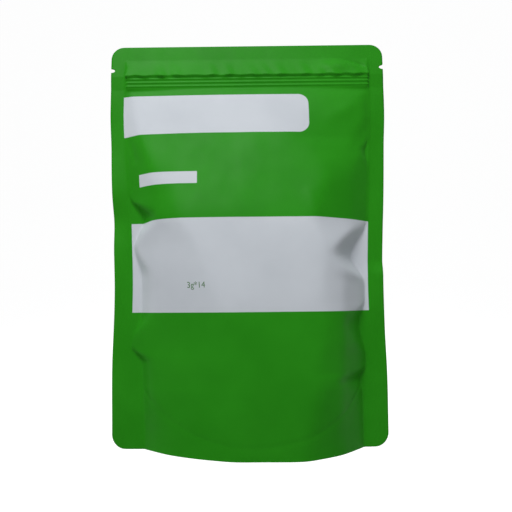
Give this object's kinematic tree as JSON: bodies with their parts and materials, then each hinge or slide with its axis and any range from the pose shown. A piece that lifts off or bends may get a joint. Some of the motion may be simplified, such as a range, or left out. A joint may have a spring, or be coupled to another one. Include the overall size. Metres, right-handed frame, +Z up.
{
  "type": "stand-up tea pouch",
  "caption": "Filled stand-up film pouch with welded side seals, a zip band, tear notches and an opened bottom gusset that it stands on.",
  "frame": {"origin": "middle of the base, on the surface that the pouch stands on", "axes": "+Z up to the top weld, +X across the panel, the printed panel faces -Y"},
  "size_m": [0.14, 0.0404, 0.2],
  "materials": {
    "film": "satin printed film"
  },
  "bodies": {
    "root": {"pouch": "film"}
  },
  "joints": []
}
